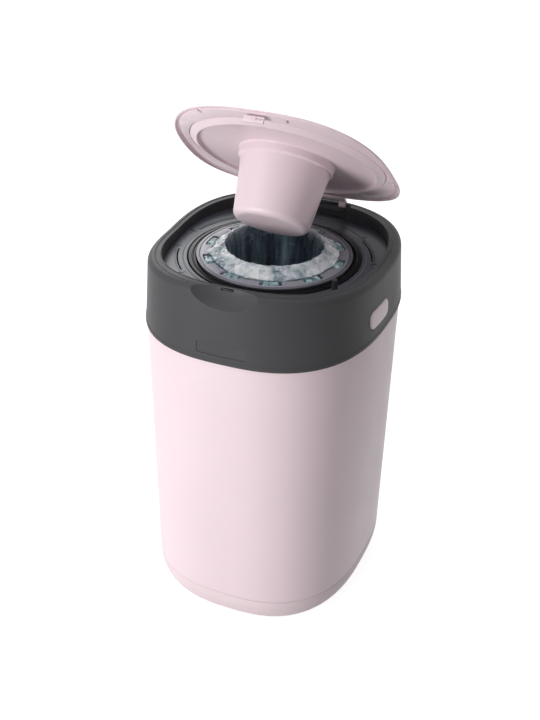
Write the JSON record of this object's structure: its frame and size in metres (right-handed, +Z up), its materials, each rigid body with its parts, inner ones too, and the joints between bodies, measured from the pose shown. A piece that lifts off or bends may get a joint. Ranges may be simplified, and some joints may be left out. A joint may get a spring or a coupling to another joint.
{
  "type": "nappy bin",
  "caption": "Tall soft-cornered nappy bin with a lift-off collar head, hinged plunger lid with a twist dial, and a film cassette on a turntable.",
  "frame": {"origin": "centre of the base, on the floor", "axes": "+Z up, the front with the thumb scoop at -Y, the lid's hinge at +Y, +X to the right seen from the front"},
  "size_m": [0.2522, 0.2758, 0.5686],
  "materials": {
    "pink_plastic": "satin",
    "pink_base_plastic": "satin",
    "pink_button_plastic": "satin",
    "dark_grey_plastic": "satin",
    "blue_grey_plastic": "satin",
    "black_plastic": "gloss",
    "cassette_grey": "satin",
    "lavender_grey_plastic": "satin",
    "teal_film": "crinkled film",
    "pale_blue_film": "crinkled film",
    "soft_rubber": "matt",
    "screw_steel": "bright",
    "dark_steel": "satin",
    "blade_steel": "bright"
  },
  "bodies": {
    "bin": {"tub_shell": "pink_plastic", "base_pan": "pink_base_plastic", "tub_collar_seal": "soft_rubber"},
    "head": {"collar_shell": "dark_grey_plastic", "deck_plate": "blue_grey_plastic", "well_tube": "dark_grey_plastic", "gripper_ring": "soft_rubber", "click_peg": "dark_grey_plastic", "hinge_rod": "dark_steel", "latch_arm_right": "dark_grey_plastic", "latch_arm_left": "dark_grey_plastic", "cutter_guard": "dark_grey_plastic", "cutter_blade": "blade_steel", "deck_screw_1": "screw_steel", "deck_screw_2": "screw_steel", "deck_screw_3": "screw_steel", "deck_screw_4": "screw_steel"},
    "button_right": {"button_right": "pink_button_plastic"},
    "button_left": {"button_left": "pink_button_plastic"},
    "lid": {"lid_cap": "pink_plastic", "lid_liner": "pink_plastic", "lid_tab": "pink_plastic", "hinge_arm": "pink_plastic"},
    "dial": {"dial_dish": "pink_plastic", "dial_cover": "pink_plastic", "dial_grip": "pink_plastic"},
    "turntable": {"turntable_ring": "black_plastic", "cassette_tub": "cassette_grey", "cassette_cap": "lavender_grey_plastic", "film_pack": "teal_film", "film_sleeve": "pale_blue_film", "film_knot": "pale_blue_film"}
  },
  "joints": [
    {"name": "head_lift", "type": "slide", "parent": "bin", "child": "head", "axis": [0, 0, 1], "range_m": [0, 0.12], "deforming": ["latch_arm_right", "latch_arm_left"]},
    {"name": "lid_hinge", "type": "hinge", "parent": "head", "child": "lid", "pos_m": [0, 0.1205, 0.41036], "axis": [-1, 0, 0], "range_deg": [-39.3, 48], "deforming": ["film_sleeve"]},
    {"name": "dial_twist", "type": "hinge", "parent": "lid", "child": "dial", "pos_m": [0, 0.03264, 0.49326], "axis": [0, 0.6334, 0.7738], "continuous": true},
    {"name": "turntable_spin", "type": "hinge", "parent": "head", "child": "turntable", "pos_m": [0, 0, 0.3448], "axis": [0, 0, 1], "continuous": true, "deforming": ["film_sleeve"]},
    {"name": "button_right_press", "type": "slide", "parent": "head", "child": "button_right", "axis": [-1, 0, 0], "range_m": [0, 0.0035], "stiffness_N_per_m": 600, "springref_m": -0.002, "deforming": ["latch_arm_right"]},
    {"name": "button_left_press", "type": "slide", "parent": "head", "child": "button_left", "axis": [1, 0, 0], "range_m": [0, 0.0035], "stiffness_N_per_m": 600, "springref_m": -0.002, "deforming": ["latch_arm_left"]}
  ]
}
